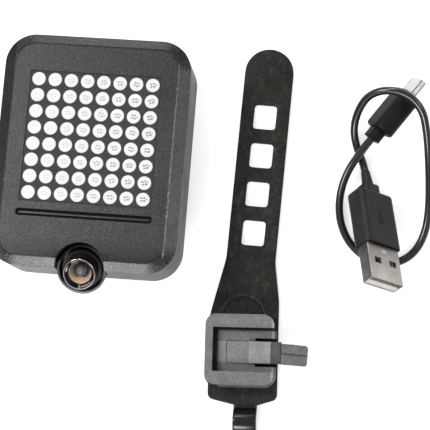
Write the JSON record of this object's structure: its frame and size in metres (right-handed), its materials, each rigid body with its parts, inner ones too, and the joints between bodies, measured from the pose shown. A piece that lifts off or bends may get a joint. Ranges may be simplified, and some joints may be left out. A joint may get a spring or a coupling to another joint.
{
  "type": "bicycle turn signal light",
  "caption": "Bicycle turn signal lamp with a square LED matrix and a tilted laser in its lower edge, with its rubber strap mount, quick-release shoe and short charging lead.",
  "frame": {"origin": "centre of the lamp's rail foot on the table, with the lamp lying on its back", "axes": "+X to the lamp's right, +Y towards its top edge, +Z out of its face"},
  "size_m": [0.1281, 0.1186, 0.035],
  "materials": {
    "lamp_plastic": "fine matt moulded texture",
    "seal_rubber": "soft satin",
    "screw_steel": "plated",
    "matrix_plastic": "fine matt",
    "led_window": "milky resin",
    "tinned_wire": "tinned",
    "smoked_plastic": "smoked clear",
    "board_green": "solder mask",
    "chip_black": "matt resin",
    "capacitor_tan": "satin",
    "pad_foam": "closed-cell foam",
    "cell_foil": "satin foil",
    "plug_white": "satin",
    "lead_red": "satin",
    "shell_nickel": "satin nickel",
    "insulator_black": "satin",
    "barrel_black": "satin black",
    "ring_chrome": "polished",
    "reflector_brass": "satin",
    "lens_glass": "clear",
    "strap_rubber": "satin rubber",
    "shoe_plastic": "fine matt moulded texture",
    "cable_jacket": "glossy jacket",
    "overmould_plastic": "matt",
    "insulator_white": "satin",
    "contact_gold": "plated",
    "latch_steel": "plain"
  },
  "bodies": {
    "lamp": {"front_shell": "lamp_plastic", "rear_shell": "lamp_plastic", "laser_holder": "lamp_plastic", "rear_rail": "lamp_plastic", "shell_gasket": "seal_rubber", "shell_screws": "screw_steel", "board_screws": "screw_steel", "rail_screws": "screw_steel", "led_matrix_body": "matrix_plastic", "led_dots": "led_window", "led_pins": "tinned_wire", "slot_strip": "smoked_plastic", "main_board": "board_green", "controller_chip": "chip_black", "motion_sensor": "chip_black", "charge_chip": "chip_black", "tact_switch": "chip_black", "board_capacitors": "capacitor_tan", "battery_pad": "pad_foam", "battery_cell": "cell_foil", "battery_plug": "plug_white", "battery_leads": "lead_red", "usb_socket": "shell_nickel", "usb_tongue": "insulator_black", "laser_barrel": "barrel_black", "laser_ring": "ring_chrome", "laser_reflector": "reflector_brass", "laser_diode": "reflector_brass", "laser_lens": "lens_glass"},
    "power_button": {"power_button": "seal_rubber", "switch_plunger": "plug_white"},
    "port_cap": {"port_cap": "seal_rubber"},
    "strap": {"strap_pad": "strap_rubber", "strap_hook": "strap_rubber", "swivel_plate": "screw_steel"},
    "strap_tail": {"strap_tail": "strap_rubber"},
    "shoe": {"shoe": "shoe_plastic", "swivel_screw": "screw_steel"},
    "release_tongue": {"release_tongue": "shoe_plastic"},
    "charging_lead": {"cable": "cable_jacket", "micro_overmould": "overmould_plastic", "micro_relief": "overmould_plastic", "micro_shell": "shell_nickel", "micro_insulator": "insulator_black", "micro_contacts": "contact_gold", "micro_latches": "latch_steel", "usb_a_overmould": "overmould_plastic", "usb_a_relief": "overmould_plastic", "usb_a_shell": "shell_nickel", "usb_a_insulator": "insulator_white", "usb_a_contacts": "contact_gold"}
  },
  "joints": [
    {"name": "power_button_press", "type": "slide", "parent": "lamp", "child": "power_button", "axis": [0, -1, 0], "range_m": [0, 0.0007], "stiffness_N_per_m": 500, "springref_m": -0.002},
    {"name": "port_cap_open", "type": "hinge", "parent": "lamp", "child": "port_cap", "pos_m": [-0.0272, 0.0036, 0.02548], "axis": [0, 0, -1], "range_deg": [0, 85]},
    {"name": "strap_lift", "type": "slide", "parent": "lamp", "child": "strap", "axis": [0, 0, 1], "range_m": [0, 0.04]},
    {"name": "lead_lift", "type": "slide", "parent": "lamp", "child": "charging_lead", "axis": [0, 0, 1], "range_m": [0, 0.04]},
    {"name": "strap_tail_bend", "type": "hinge", "parent": "strap", "child": "strap_tail", "pos_m": [0.04625, -0.02176, 0.0028], "axis": [0.9998, -0.0218, 0], "range_deg": [0, 75], "stiffness_Nm_per_rad": 0.05},
    {"name": "shoe_swivel", "type": "hinge", "parent": "strap", "child": "shoe", "pos_m": [0.0456, -0.05175, 0.003], "axis": [0, 0, 1], "range_deg": [-25, 25]},
    {"name": "tongue_release", "type": "hinge", "parent": "shoe", "child": "release_tongue", "pos_m": [0.04161, -0.05195, 0.0059], "axis": [-0.0506, 0.9987, 0], "range_deg": [0, 7.5], "stiffness_Nm_per_rad": 0.2, "springref_deg": -2.86}
  ]
}
